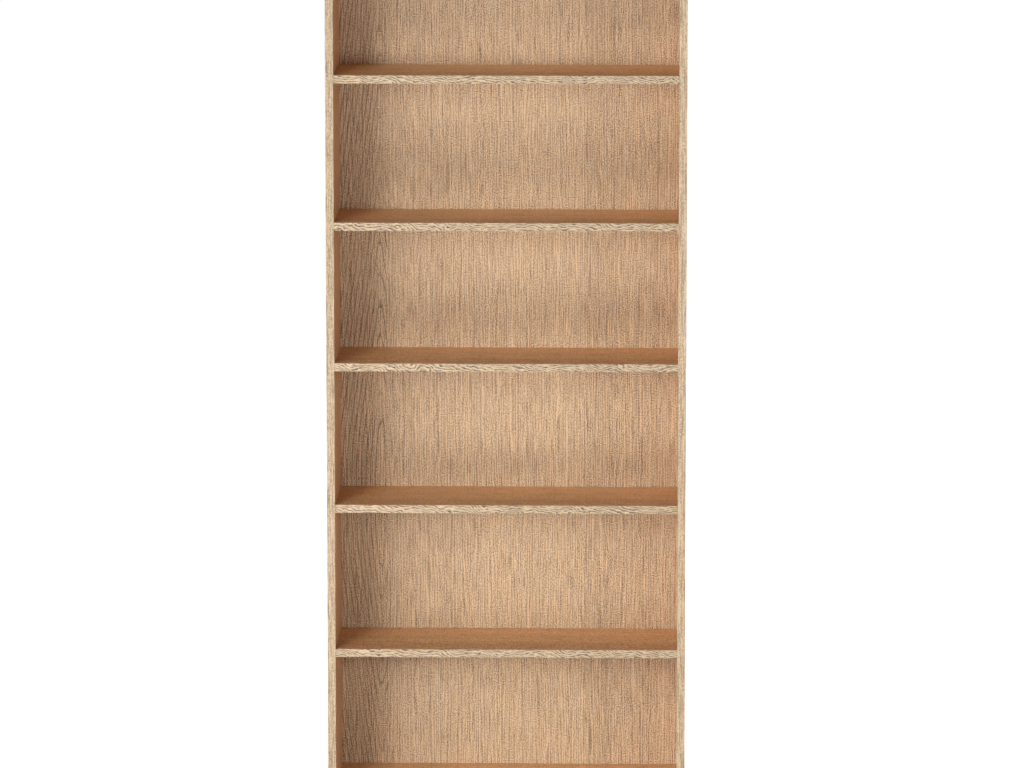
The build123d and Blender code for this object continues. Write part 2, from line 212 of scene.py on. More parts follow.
class Sheet:
    """A material in the making: its node tree, and the place on the piece in millimetres from its middle."""

    def __init__(self, name: str, place: Place) -> None:
        """Starts a material for a piece.

        Args:
            name: The material's name.
            place: Where the piece is and how its grain runs.
        """
        self.material = bpy.data.materials.new(name)
        self.material.use_nodes = True
        self.tree = self.material.node_tree
        self.place = place
        shift = tuple(-value for value in place.middle)
        here = self.add("ShaderNodeTexCoord").outputs["Object"]
        local = self.add("ShaderNodeMapping", {"Vector": here, "Location": shift, "Scale": (MM_PER_M,) * 3})
        axes = self.add("ShaderNodeSeparateXYZ", {"Vector": local})
        self.along, self.across, self.through = (axes.outputs[letter] for letter in place.lay.value)

    def add(self, kind: str, inputs: dict[Any, Any] | None = None, **settings: Any) -> bpy.types.Node:
        """Adds a node to this material. See add_node."""
        return add_node(self.tree, kind, inputs, **settings)

    def spots(self, pattern: Spots) -> bpy.types.Node:
        """Draws a soft random pattern.

        Args:
            pattern: The size and the kind of its spots.

        Returns:
            A node whose output is about 0.5 on average, and mostly between 0.25 and 0.75.
        """
        face = self.add("ShaderNodeCombineXYZ", {"X": self.across, "Y": self.along, "Z": self.through})
        across, along, through = (self.place.seed * step for step in PIECE_STEPS)
        shift = (across, along, through + pattern.seed * PATTERN_STEP)
        scale = (1 / pattern.wide, 1 / pattern.long, 1 / pattern.deep)
        stretched = self.add("ShaderNodeMapping", {"Vector": face, "Location": shift, "Scale": scale})
        return self.add(
            "ShaderNodeTexNoise",
            {"Vector": stretched, "Scale": 1.0, "Detail": pattern.detail, "Roughness": FINER_SHARE},
        )

    def marks(self, pattern: Spots, cut: float) -> bpy.types.Node:
        """Draws separate marks, such as the cut pores of oak.

        Args:
            pattern: The size of a mark.
            cut: Where the pattern is cut. At 0.5 half of the surface is marked, and at 0.7 very little.

        Returns:
            A node whose output is 1 in a mark and 0 between the marks.
        """
        start, whole = MARK_FADE
        return self.add(
            "ShaderNodeMapRange",
            {"Value": self.spots(pattern), "From Min": cut + start, "From Max": cut + whole},
            interpolation_type="SMOOTHSTEP",
        )

    def total(self, start: float, *parts: tuple[Any, float]) -> Any:
        """Adds patterns up, each times its own weight.

        Args:
            start: The value to start from.
            parts: Pairs of a pattern and its weight.

        Returns:
            What holds the sum.
        """
        so_far: Any = start
        for pattern, weight in parts:
            so_far = self.add("ShaderNodeMath", {0: pattern, 1: weight, 2: so_far}, operation="MULTIPLY_ADD")
        return so_far

    def around(self, middle: float, *parts: tuple[Any, float]) -> Any:
        """Adds soft patterns up so that their sum stays around a value.

        Args:
            middle: The sum where every pattern is at its average.
            parts: Pairs of a pattern and its weight.

        Returns:
            What holds the sum.
        """
        return self.total(middle - PATTERN_MIDDLE * sum(weight for _, weight in parts), *parts)

    def blend(self, first: Any, second: Any, share: Any, amount: float = 1.0) -> Any:
        """Blends two colours.

        Args:
            first: The colour where the share is 0: an output or a hex colour.
            second: The colour where the share is 1: an output or a hex colour.
            share: The pattern that chooses between them.
            amount: The most of the second colour that shows.

        Returns:
            The node that holds the blended colour.
        """
        first, second = (linear(c) if isinstance(c, str) else c for c in (first, second))
        part = self.add("ShaderNodeMath", {0: share, 1: amount}, operation="MULTIPLY", use_clamp=True)
        return self.add("ShaderNodeMix", {"Factor": part, "A": first, "B": second}, data_type="RGBA")

    def pick(self, first: Layer, second: Layer, share: Any) -> Layer:
        """Blends two layers.

        Args:
            first: The layer where the share is 0.
            second: The layer where the share is 1.
            share: The pattern that chooses between them.

        Returns:
            The blended layer.
        """
        colours, *others = zip(first, second)
        colour = self.add(
            "ShaderNodeMix", {"Factor": share, "A": colours[0], "B": colours[1]}, data_type="RGBA"
        )
        rest = [self.add("ShaderNodeMix", {"Factor": share, "A": a, "B": b}) for a, b in others]
        return Layer(colour, *rest)

    def finish(
        self, layer: Layer, relief: float, metallic: float = 0.0, shine: float = 0.5
    ) -> bpy.types.Material:
        """Plugs a layer into the material's shader.

        Args:
            layer: The surface's colour, roughness and relief.
            relief: How deep the relief is, in millimetres.
            metallic: 1 for bare metal.
            shine: How strongly the surface mirrors, where 0.5 is usual and less is matter.

        Returns:
            The finished material.
        """
        shader = self.tree.nodes["Principled BSDF"]
        shader.inputs["Metallic"].default_value = metallic
        shader.inputs["Specular IOR Level"].default_value = shine
        bump = self.add(
            "ShaderNodeBump",
            {"Height": layer.relief, "Strength": BUMP_STRENGTH, "Distance": relief / MM_PER_M},
        )
        for value, name in ((layer.colour, "Base Color"), (layer.roughness, "Roughness"), (bump, "Normal")):
            self.tree.links.new(output_of(value), shader.inputs[name])
        return self.material


# ---- Finishes ----


@dataclass(frozen=True)
class CrownFigure:
    """The figure of a leaf cut near the heart: growth rings cut nearly flat, which stand as nested arches.

    Sizes are in millimetres.
    """

    middle: float  # place across the face, from the face's middle
    ring_pitch: float = 70.0  # rise from one arch to the next
    slope: float = 6.5  # how much an arch drops over a millimetre across
    rounding: float = 3.5  # half-width of an arch's rounded top
    turn: float = -340.0  # along the grain from the middle, the arches point up past here and down before it
    calm: float = 100.0  # half of the length about that turn in which the rings run along the grain
    drift: float = 0.0  # how far the figure drifts to the sides on its way
    tip: float = 0.75  # how dark a ring is at the tip of its arch, where 1 is as dark as its flanks
    tip_reach: float = 2.5  # how far from the tip a ring is as dark as its flanks, in roundings
    ring_wide: float = 0.25  # the part of a ring's pitch that its dark early wood fills
    sway_across: float = 8.0  # how far the rings wander to the sides
    sway_along: float = 60.0  # how far they wander along the grain
    wander: Spots = Spots(30.0, 150.0, seed=7)  # bends the rings
    drifting: Spots = Spots(500.0, 420.0, seed=16, detail=0.0)  # carries the whole figure to the sides
    breaks: Spots = Spots(3.0, 22.0, seed=11)  # small gaps in the rings
    broken: tuple[float, float] = (0.15, 0.45)  # values of that pattern where a ring is gone and whole
    fades: Spots = Spots(40.0, 130.0, seed=13, detail=0.0)  # where the rings fade away for a stretch
    faded: tuple[float, float] = (0.1, 0.55)  # values of that pattern where a ring is gone and whole


@dataclass(frozen=True)
class Leaf:
    """One leaf of sliced veneer on a face. Places are in millimetres across the face, from its middle."""

    start: float
    end: float
    tone: float = 0.0  # lighter above 0, darker below
    open_pores: float = 0.0  # how dark the cut pores in its lines of open wood are, where 1 is all deep_pore
    crown: CrownFigure | None = None  # its figure, where it was cut near the heart


@dataclass(frozen=True)
class SlicedOakVeneer:
    """Oak veneer, sliced, sanded and clear lacquered.

    It gives the eye a warm pale brown with fine straight streaks, short dark pores, slow changes of tone,
    and in a leaf cut near the heart nested arches. The lacquer has a satin sheen. Real pores are 0.3 mm
    wide, which wouldn't show, so they are drawn in bunches, and the other fine patterns are as coarse.
    """

    wood: str = "#E0C29D"
    shade: str = "#604732"
    pore: str = "#55341C"
    deep_pore: str = "#4E2A10"  # where a leaf's pores are open, and in the lines of its crown figure
    middle_tone: float = 0.64  # from the shade at 0 to the wood at 1
    leaves: tuple[Leaf, ...] = ()
    joint_wide: float = 0.8  # across which one leaf's tone turns to the next one's
    rough: float = 0.5  # roughness of the lacquer
    streak_rougher: float = 0.1  # how much rougher a light streak is
    streak_higher: float = 0.15  # and how much higher in the relief
    shine: float = 0.35
    streaks: Spots = Spots(2.2, 900.0, seed=1, weight=0.35, detail=0.0)  # growth rings, cut square
    threads: Spots = Spots(2.2, 45.0, seed=2, weight=0.6, detail=0.0)  # short streaks between them
    clouds: Spots = Spots(70.0, 220.0, seed=4, weight=0.08)  # slow changes of tone
    grit: Spots = Spots(2.2, 2.6, seed=5, weight=1.8, detail=0.0)  # ends of pores
    ray_flecks: Spots | None = None  # across the grain, where the leaf is cut along the rays
    pores: Spots = Spots(2.0, 20.0, seed=6, detail=1.0)
    pore_cut: float = 0.6  # where their pattern is cut, as for marks
    pore_depth: float = 0.2  # how much of their dark colour shows
    open_cut: tuple[float, float] = (0.4, 0.6)  # values of the grit where open pores are whole and gone
    line_pitch: float = 5.2  # from one line of open wood to the next
    line_depth: float = 0.48  # how much darker those lines are
    line_sway: Spots = Spots(14.0, 260.0, seed=14, weight=5.0, detail=0.0)  # their long slow bends
    line_waver: Spots = Spots(5.0, 60.0, seed=15, weight=1.6, detail=0.0)  # and their short ones

    def layer(self, sheet: Sheet) -> Layer:
        """Draws the veneer.

        Args:
            sheet: The material in the making.

        Returns:
            The veneer's colour, roughness and relief.
        """
        streaks = sheet.spots(self.streaks)
        lines = self.fine_lines(sheet)
        parts = [(streaks, self.streaks.weight), (lines, -self.line_depth)]
        parts += [(sheet.spots(pattern), pattern.weight) for pattern in (self.threads, self.clouds)]
        grit = sheet.spots(self.grit)
        parts.append((grit, self.grit.weight))
        if self.ray_flecks:
            parts.append((sheet.spots(self.ray_flecks), self.ray_flecks.weight))
        tone = sheet.around(self.middle_tone, *parts)
        for leaf in self.leaves:
            tone = sheet.total(tone, (self.inside(sheet, leaf), leaf.tone))
        pores = sheet.marks(self.pores, self.pore_cut)
        colour = sheet.blend(self.shade, self.wood, tone)
        colour = sheet.blend(colour, self.pore, pores, self.pore_depth)
        for leaf in self.leaves:
            if leaf.open_pores:
                open_pores = self.open_pores(sheet, leaf, lines, grit)
                colour = sheet.blend(colour, self.deep_pore, open_pores, leaf.open_pores)
            if leaf.crown:
                colour = sheet.blend(colour, self.deep_pore, self.arches(sheet, leaf, leaf.crown))
        base = self.rough - PATTERN_MIDDLE * self.streak_rougher
        roughness = sheet.total(base, (pores, PORE_ROUGHER), (streaks, self.streak_rougher))
        relief = sheet.total(FACE_LEVEL, (pores, PORE_LOWER), (streaks, self.streak_higher))
        return Layer(colour, roughness, relief)

    def fine_lines(self, sheet: Sheet) -> Any:
        """The lines of open wood that run along the grain, side by side and never quite straight.

        Args:
            sheet: The material in the making.

        Returns:
            The node that goes from 0 between two lines to 1 on a line.
        """
        sway = (sheet.spots(self.line_sway), self.line_sway.weight)
        waver = (sheet.spots(self.line_waver), self.line_waver.weight)
        # The pattern goes to 1 and back to 0, so a line and the gap beside it take 2.
        place = sheet.total(0.0, (sheet.across, 2.0 / self.line_pitch), sway, waver)
        return sheet.add("ShaderNodeMath", {0: place, 1: 1.0}, operation="PINGPONG")

    def open_pores(self, sheet: Sheet, leaf: Leaf, lines: Any, grit: Any) -> Any:
        """The pores that are cut open along a leaf's lines of open wood.

        Args:
            sheet: The material in the making.
            leaf: The leaf.
            lines: The lines of open wood.
            grit: The pattern that cuts the lines into pores.

        Returns:
            The node that is 1 in an open pore and 0 off it.
        """
        there = sheet.add("ShaderNodeMath", {0: lines, 1: self.inside(sheet, leaf)}, operation="MULTIPLY")
        whole, gone = self.open_cut
        cut = sheet.add(
            "ShaderNodeMapRange",
            {"Value": grit, "From Min": whole, "From Max": gone, "To Min": 1.0, "To Max": 0.0},
        )
        return sheet.add("ShaderNodeMath", {0: there, 1: cut}, operation="MULTIPLY")

    def inside(self, sheet: Sheet, leaf: Leaf) -> Any:
        """A pattern that is 1 on one leaf and 0 off it.

        Args:
            sheet: The material in the making.
            leaf: The leaf.

        Returns:
            The node that holds the pattern.
        """
        half = self.joint_wide / 2
        after, before = (
            sheet.add("ShaderNodeMapRange", {"Value": sheet.across, "From Min": off, "From Max": on})
            for off, on in ((leaf.start - half, leaf.start + half), (leaf.end + half, leaf.end - half))
        )
        return sheet.add("ShaderNodeMath", {0: after, 1: before}, operation="MULTIPLY")

    def arches(self, sheet: Sheet, leaf: Leaf, crown: CrownFigure) -> Any:
        """Draws the crown figure of a leaf.

        Args:
            sheet: The material in the making.
            leaf: The leaf.
            crown: Its figure.

        Returns:
            The node that is 1 on the dark start of each ring and 0 at its end.
        """
        wander = sheet.spots(crown.wander)
        drift = sheet.spots(crown.drifting)
        shift = -crown.middle - PATTERN_MIDDLE * (crown.sway_across + crown.drift)
        offset = sheet.total(shift, (sheet.across, 1.0), (wander, crown.sway_across), (drift, crown.drift))
        beside = sheet.add("ShaderNodeMath", {0: offset}, operation="ABSOLUTE")
        from_turn = sheet.total(-crown.turn, (sheet.along, 1.0))
        beyond = sheet.add("ShaderNodeMath", {0: from_turn}, operation="ABSOLUTE")
        drop, climb = (
            sheet.add("ShaderNodeMath", {0: distance, 1: least, 2: least}, operation="SMOOTH_MAX")
            for distance, least in ((beside, crown.rounding), (beyond, crown.calm))
        )
        rise = sheet.total(0.0, (climb, 1.0), (drop, crown.slope), (wander, crown.sway_along))
        rings = sheet.total(0.0, (rise, 1 / crown.ring_pitch))
        ring = sheet.add("ShaderNodeMath", {0: rings}, operation="FRACT")
        line = sheet.add(
            "ShaderNodeMapRange",
            {"Value": ring, "From Max": crown.ring_wide, "To Min": 1.0, "To Max": 0.0},
        )
        flank = crown.tip_reach * crown.rounding
        tip = (-flank * crown.tip / (1.0 - crown.tip), flank)
        strength: Any = self.inside(sheet, leaf)
        for pattern, (gone, whole) in (
            (beside, tip),
            (sheet.spots(crown.breaks), crown.broken),
            (sheet.spots(crown.fades), crown.faded),
        ):
            share = sheet.add("ShaderNodeMapRange", {"Value": pattern, "From Min": gone, "From Max": whole})
            strength = sheet.add("ShaderNodeMath", {0: strength, 1: share}, operation="MULTIPLY")
        return sheet.add("ShaderNodeMath", {0: line, 1: strength}, operation="MULTIPLY")


@dataclass(frozen=True)
class PressedChipboard:
    """Chipboard, sawn: wood chips glued and pressed.

    It gives the eye a dull tan of small light and dark chips that lie flat in the board.
    """

    light: str = "#C7A578"
    dark: str = "#86643F"
    chip_long: float = 5.0
    chip_wide: float = 2.6
    chip_thick: float = 1.2
    chip_weight: float = 0.8  # of the chips in the tone
    chip_relief: float = 0.6  # and in the relief
    dust: Spots = Spots(0.8, 0.8, seed=8, weight=0.6, deep=0.8)  # fine chips between the large ones
    dust_relief: float = 0.4
    smoothest: float = 0.75
    dust_rougher: float = 0.2

    def layer(self, sheet: Sheet) -> Layer:
        """Draws the sawn core.

        Args:
            sheet: The material in the making.

        Returns:
            The core's colour, roughness and relief.
        """
        spot = sheet.add("ShaderNodeCombineXYZ", {"X": sheet.across, "Y": sheet.along, "Z": sheet.through})
        packed = sheet.add(
            "ShaderNodeMapping",
            {"Vector": spot, "Scale": (1 / self.chip_wide, 1 / self.chip_long, 1 / self.chip_thick)},
        )
        chips = sheet.add("ShaderNodeTexVoronoi", {"Vector": packed, "Scale": 1.0})
        chip_tone = sheet.add("ShaderNodeSeparateColor", {"Color": chips.outputs["Color"]})
        dust = sheet.spots(self.dust)
        tone = sheet.around(PATTERN_MIDDLE, (chip_tone, self.chip_weight), (dust, self.dust.weight))
        colour = sheet.blend(self.dark, self.light, tone)
        roughness = sheet.total(self.smoothest, (dust, self.dust_rougher))
        relief = sheet.total(0.0, (chip_tone, self.chip_relief), (dust, self.dust_relief))
        return Layer(colour, roughness, relief)


@dataclass(frozen=True)
class PressedHardboard:
    """Hardboard, pressed from wood fibre, as it comes on the hidden face of a back panel.

    It gives the eye an even dark brown with fine felted fibres and a faint sheen.
    """

    light: str = "#9C7650"
    dark: str = "#6F4F33"
    middle_tone: float = 0.55
    fibres: Spots = Spots(2.0, 7.0, seed=9, weight=1.1, detail=3.0, deep=2.0)
    clouds: Spots = Spots(60.0, 90.0, seed=10, weight=0.7, deep=60.0)
    smoothest: float = 0.5
    fibre_rougher: float = 0.25

    def layer(self, sheet: Sheet) -> Layer:
        """Draws the felted face.

        Args:
            sheet: The material in the making.

        Returns:
            The hardboard's colour, roughness and relief.
        """
        fibres = sheet.spots(self.fibres)
        clouds = sheet.spots(self.clouds)
        tone = sheet.around(self.middle_tone, (fibres, self.fibres.weight), (clouds, self.clouds.weight))
        colour = sheet.blend(self.dark, self.light, tone)
        roughness = sheet.total(self.smoothest, (fibres, self.fibre_rougher))
        return Layer(colour, roughness, sheet.total(0.0, (fibres, 1.0)))


@dataclass(frozen=True)
class VeneeredBoard:
    """A board of chipboard or hardboard with veneer glued to its faces.

    It gives the eye wood on the faces, and on every cut edge and in every hole the core, with the veneer as
    a thin line beside it.
    """

    veneer: SlicedOakVeneer
    core: PressedChipboard | PressedHardboard = PressedChipboard()
    veneer_thick: float = 0.6
    relief: float = 0.15
    one_face: bool = False  # veneer on the front only

    def material(self, name: str, place: Place) -> bpy.types.Material:
        """Makes the board's material.

        Args:
            name: The material's name.
            place: Where the board is and how its grain runs.

        Returns:
            The material.
        """
        sheet = Sheet(name, place)
        skin = place.span(place.lay.value[2]) / 2 - self.veneer_thick
        if self.one_face:
            on_face = sheet.add("ShaderNodeMath", {0: sheet.through, 1: -skin}, operation="LESS_THAN")
        else:
            depth = sheet.add("ShaderNodeMath", {0: sheet.through}, operation="ABSOLUTE")
            on_face = sheet.add("ShaderNodeMath", {0: depth, 1: skin}, operation="GREATER_THAN")
        both = sheet.pick(self.core.layer(sheet), self.veneer.layer(sheet), on_face)
        return sheet.finish(both, self.relief, shine=self.veneer.shine)


@dataclass(frozen=True)
class StraightOakBand:
    """Oak edge strip with straight grain, glued on and lightly lacquered.

    It gives the eye a paler wood than the faces, with fine upright streaks and short grey-brown pores.
    """

    wood: str = "#C5AE8F"
    shade: str = "#90785C"
    pore: str = "#6E583F"
    middle_tone: float = 0.6
    streaks: Spots = Spots(2.0, 60.0, seed=1, weight=2.8, detail=0.0)
    bands: Spots = Spots(7.0, 500.0, seed=2, weight=0.4)  # slow changes of tone
    grit: Spots = Spots(1.8, 3.4, seed=3, weight=2.4, detail=0.0)  # ends of pores
    pores: Spots = Spots(1.6, 12.0, seed=4, detail=1.0)
    pore_cut: float = 0.6  # where their pattern is cut, as for marks
    pore_depth: float = 0.45  # how much of their dark colour shows
    rough: float = 0.45
    streak_higher: float = 0.2
    relief: float = 0.12

    def material(self, name: str, place: Place) -> bpy.types.Material:
        """Makes the strip's material.

        Args:
            name: The material's name.
            place: Where the strip is and how its grain runs.

        Returns:
            The material.
        """
        sheet = Sheet(name, place)
        patterns = (self.streaks, self.bands, self.grit)
        parts = [(sheet.spots(pattern), pattern.weight) for pattern in patterns]
        tone = sheet.around(self.middle_tone, *parts)
        pores = sheet.marks(self.pores, self.pore_cut)
        colour = sheet.blend(sheet.blend(self.shade, self.wood, tone), self.pore, pores, self.pore_depth)
        roughness = sheet.total(self.rough, (pores, PORE_ROUGHER))
        streaks = parts[0][0]
        relief = sheet.total(FACE_LEVEL, (pores, PORE_LOWER), (streaks, self.streak_higher))
        return sheet.finish(Layer(colour, roughness, relief), self.relief)


@dataclass(frozen=True)
class FlowingOakBand:
    """Oak edge strip cut from the flank of the log, glued on and lightly lacquered.

    It gives the eye a pale cream with grey-brown pore lines that wander along the strip and fan out.
    """

    wood: str = "#CAB293"
    shade: str = "#BBA280"
    pore: str = "#2E1C08"
    line_pitch: float = 5.6  # from one pore line to the next, across the strip
    run_out: float = 30.0  # length in which a line crosses to the next one's place
    line_wide: float = 0.95  # the part of the pitch over which a line fades out
    sweep: Spots = Spots(60.0, 75.0, seed=1, weight=9.0, detail=1.0)  # long bends, where lines fan out
    ripple: Spots = Spots(8.0, 13.0, seed=2, weight=1.6, detail=1.0)  # short bends
    breaks: Spots = Spots(3.0, 14.0, seed=3)  # gaps in the lines
    broken: tuple[float, float] = (0.3, 0.55)  # values of that pattern where a line is gone and whole
    clouds: Spots = Spots(5.0, 70.0, seed=4, weight=1.2)  # changes of tone between the lines
    rough: float = 0.45
    relief: float = 0.12

    def material(self, name: str, place: Place) -> bpy.types.Material:
        """Makes the strip's material.

        Args:
            name: The material's name.
            place: Where the strip is and how its grain runs.

        Returns:
            The material.
        """
        sheet = Sheet(name, place)
        sweep, ripple = ((sheet.spots(pattern), pattern.weight) for pattern in (self.sweep, self.ripple))
        slopes = ((sheet.across, 1 / self.line_pitch), (sheet.along, 1 / self.run_out))
        flow = sheet.total(0.0, *slopes, sweep, ripple)
        ring = sheet.add("ShaderNodeMath", {0: flow}, operation="FRACT")
        line = sheet.add(
            "ShaderNodeMapRange",
            {"Value": ring, "From Max": self.line_wide, "To Min": 1.0, "To Max": 0.0},
            interpolation_type="SMOOTHSTEP",
        )
        breaks = sheet.spots(self.breaks)
        gone, whole = self.broken
        strength = sheet.add("ShaderNodeMapRange", {"Value": breaks, "From Min": gone, "From Max": whole})
        lines = sheet.add("ShaderNodeMath", {0: line, 1: strength}, operation="MULTIPLY")
        tone = sheet.around(PATTERN_MIDDLE, (sheet.spots(self.clouds), self.clouds.weight))
        colour = sheet.blend(sheet.blend(self.shade, self.wood, tone), self.pore, lines)
        roughness = sheet.total(self.rough, (lines, PORE_ROUGHER))
        relief = sheet.total(FACE_LEVEL, (lines, PORE_LOWER))
        return sheet.finish(Layer(colour, roughness, relief), self.relief)


@dataclass(frozen=True)
class TurnedBeech:
    """Beech dowel rod, turned and left bare.

    It gives the eye a plain pinkish tan with short dark flecks along the rod.
    """

    wood: str = "#DDB78C"
    fleck: str = "#A87B51"
    grain: Spots = Spots(1.5, 30.0, seed=1, weight=0.5, deep=1.5)
    flecks: Spots = Spots(0.7, 3.0, seed=2, weight=0.7, detail=1.0, deep=0.7)
    fleck_cut: float = 0.6  # where their pattern is cut, as for marks
    smoothest: float = 0.55
    grain_rougher: float = 0.2
    relief: float = 0.1

    def material(self, name: str, place: Place) -> bpy.types.Material:
        """Makes the dowels' material.

        Args:
            name: The material's name.
            place: Where the dowels are and how their grain runs.

        Returns:
            The material.
        """
        sheet = Sheet(name, place)
        grain = sheet.spots(self.grain)
        flecks = sheet.marks(self.flecks, self.fleck_cut)
        colour = sheet.blend(self.wood, self.fleck, grain, self.grain.weight)
        colour = sheet.blend(colour, self.fleck, flecks, self.flecks.weight)
        roughness = sheet.total(self.smoothest, (grain, self.grain_rougher))
        return sheet.finish(Layer(colour, roughness, grain), self.relief)


@dataclass(frozen=True)
class PlatedMetal:
    """Metal under a thin plating.

    It gives the eye a grey shine that fine marks from the work soften in one direction.
    """

    bright: str
    dull: str
    roughness: float
    mark_wide: float  # in millimetres, as is its length
    mark_long: float
    mark_detail: float = 3.0
    mark_weight: float = 1.2  # of the marks in the tone
    cloud_weight: float = 0.8  # and of the clouds
    mark_rougher: float = 0.12
    cloud_rougher: float = 0.08
    clouds: Spots = Spots(6.0, 6.0, seed=2, deep=6.0)
    relief: float = 0.02

    def material(self, name: str, place: Place) -> bpy.types.Material:
        """Makes the metal's material.

        Args:
            name: The material's name.
            place: Where the piece is and how its marks run.

        Returns:
            The material.
        """
        sheet = Sheet(name, place)
        work = Spots(self.mark_wide, self.mark_long, seed=1, detail=self.mark_detail, deep=self.mark_wide)
        marks = sheet.spots(work)
        clouds = sheet.spots(self.clouds)
        tone = sheet.around(PATTERN_MIDDLE, (marks, self.mark_weight), (clouds, self.cloud_weight))
        colour = sheet.blend(self.dull, self.bright, tone)
        roughness = sheet.around(self.roughness, (marks, self.mark_rougher), (clouds, self.cloud_rougher))
        return sheet.finish(Layer(colour, roughness, marks), self.relief, metallic=1.0)


@dataclass(frozen=True)
class MouldedPolyethylene:
    """Polyethylene, moulded, as in nail-on glides.

    It gives the eye a near-black grey with a waxy, slightly uneven skin.
    """

    light: str = "#2B2B2C"
    dark: str = "#1B1B1C"
    skin: Spots = Spots(1.0, 1.0, seed=1, detail=3.0, deep=1.0)
    smoothest: float = 0.35
    skin_rougher: float = 0.15
    relief: float = 0.05

    def material(self, name: str, place: Place) -> bpy.types.Material:
        """Makes the plastic's material.

        Args:
            name: The material's name.
            place: Where the piece is.

        Returns:
            The material.
        """
        sheet = Sheet(name, place)
        skin = sheet.spots(self.skin)
        colour = sheet.blend(self.dark, self.light, skin)
        roughness = sheet.total(self.smoothest, (skin, self.skin_rougher))
        return sheet.finish(Layer(colour, roughness, skin), self.relief)


# A cold bright grey with short marks, on bolts, nails and screws.
ZINC_PLATED_STEEL = PlatedMetal("#C9CCCF", "#A3A7AB", roughness=0.38, mark_wide=0.3, mark_long=3.0)
# A duller grey with the grain of the mould, on the cam locks.
DIE_CAST_ZINC = PlatedMetal("#B3B4B4", "#8B8C8D", roughness=0.52, mark_wide=0.6, mark_long=0.6)
# A warm bright grey, on the shelf pins.
NICKEL_PLATED_STEEL = PlatedMetal("#CFC9BD", "#ABA599", roughness=0.30, mark_wide=0.4, mark_long=2.0)
# A plain grey with the long marks of the rollers, on the wall bracket.
PRESSED_SHEET_STEEL = PlatedMetal("#BFC3C6", "#989CA0", roughness=0.42, mark_wide=0.5, mark_long=20.0)


# ---- The bookcase ----


def dress(node: str, material: bpy.types.Material) -> None:
    """Gives a CAD node's own material slots a better material, and reports it.

    Args:
        node: The node's name.
        material: The material that it gets.
    """
    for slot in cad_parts[node].material_slots:
        slot.material = material
    log.info("%s is finished in %s", node, material.name)


@dataclass
class Side:
    """A side of the case with its front edge strip."""

    name: str
    seed: float
    strip: StraightOakBand
    joint: float = 22.0  # from the middle of the face to the joint of its two leaves
    rear_tone: float = -0.12  # of the leaf behind that joint
    figure: CrownFigure = CrownFigure(
        middle=-40.0, ring_pitch=80.0, slope=8.0, turn=-600.0, drift=90.0, tip=0.2
    )

    def dress(self) -> None:
        """Finishes the board and its strip."""
        place = Place.of_node(self.name, Lay.SIDE, self.seed)
        half = place.span("Y") / 2
        leaves = (Leaf(-half, self.joint, crown=self.figure), Leaf(self.joint, half, self.rear_tone))
        board = VeneeredBoard(SlicedOakVeneer(wood="#F6C598", shade="#906441", leaves=leaves))
        dress(self.name, board.material(f"oak_veneered_{self.name}", place))
        strip = f"{self.name}_edge"
        dress(strip, self.strip.material(f"oak_band_{strip}", Place.of_node(strip, Lay.BACK, self.seed)))


@dataclass
class Shelf:
    """A level board with its front edge strip, and the fittings or pins that hold it."""

    name: str
    seed: float
    # The front, middle and rear leaf tones are painted light and shade. The front of each board is darker
    # and the rear lighter, as light bounced off the back panel falls on the rear of the shelf tops.
    joint: float = 45.0  # from the middle of the face to the joints on both sides of the middle leaf
    front_painted_shade: float = -0.23
    middle_tone: float = -0.04
    rear_tone: float = 0.09
    joint_wide: float = 45.0  # the painted light and shade go over into each other slowly, as a gradient from front to rear
    shine: float = 0.22
    ray_flecks: Spots = Spots(24.0, 3.0, seed=3, weight=0.35, detail=0.0)

    def dress(self) -> None:
        """Finishes the board, its strip and what holds it."""
        place = Place.of_node(self.name, Lay.SHELF, self.seed)
        half = place.span("Y") / 2
        # Painted shade at the front and painted light at the rear, set as three leaves.
        leaves = (
            Leaf(-half, -self.joint, self.front_painted_shade),
            Leaf(-self.joint, self.joint, self.middle_tone),
            Leaf(self.joint, half, self.rear_tone),
        )
        # The shelves' oak is a warmer, more orange copy of the back's. It is partly painted light: the
        # orange glow that light bounced off the back panel gives the shelf tops.
        veneer = SlicedOakVeneer(
            wood="#E4B584",
            shade="#805633",
            pore="#6F472D",
            leaves=leaves,
            joint_wide=self.joint_wide,
            shine=self.shine,
            ray_flecks=self.ray_flecks,
        )
        dress(self.name, VeneeredBoard(veneer).material(f"oak_veneered_{self.name}", place))
        strip = f"{self.name}_edge"
        strip_place = Place.of_node(strip, Lay.RAIL, self.seed)
        dress(strip, FlowingOakBand().material(f"oak_band_{strip}", strip_place))
        self.dress_holders()

    def dress_holders(self) -> None:
        """Finishes what holds the board up."""
        raise NotImplementedError


@dataclass
class FixedBoard(Shelf):
    """A board that cam fittings and dowels hold between the sides."""

    def dress_holders(self) -> None:
        """Finishes the cam bolts, the cam locks and the dowels."""
        for part, finish in (
            ("cam_bolts", ZINC_PLATED_STEEL),
            ("cam_locks", DIE_CAST_ZINC),
            ("dowels", TurnedBeech()),
        ):
            node = f"{self.name}_{part}"
            dress(node, finish.material(f"finish_{node}", Place.of_node(node, Lay.SHELF, self.seed)))


@dataclass
class AdjustableShelf(Shelf):
    """A board that lies loose on four pins."""

    def dress_holders(self) -> None:
        """Finishes the four pins."""
        pins = self.name.removeprefix("adjustable_") + "_pin"
        for corner in ("left_front", "left_rear", "right_front", "right_rear"):
            node = f"{pins}_{corner}"
            place = Place.of_node(node, Lay.SHELF, self.seed)
            dress(node, NICKEL_PLATED_STEEL.material(f"nickel_{node}", place))


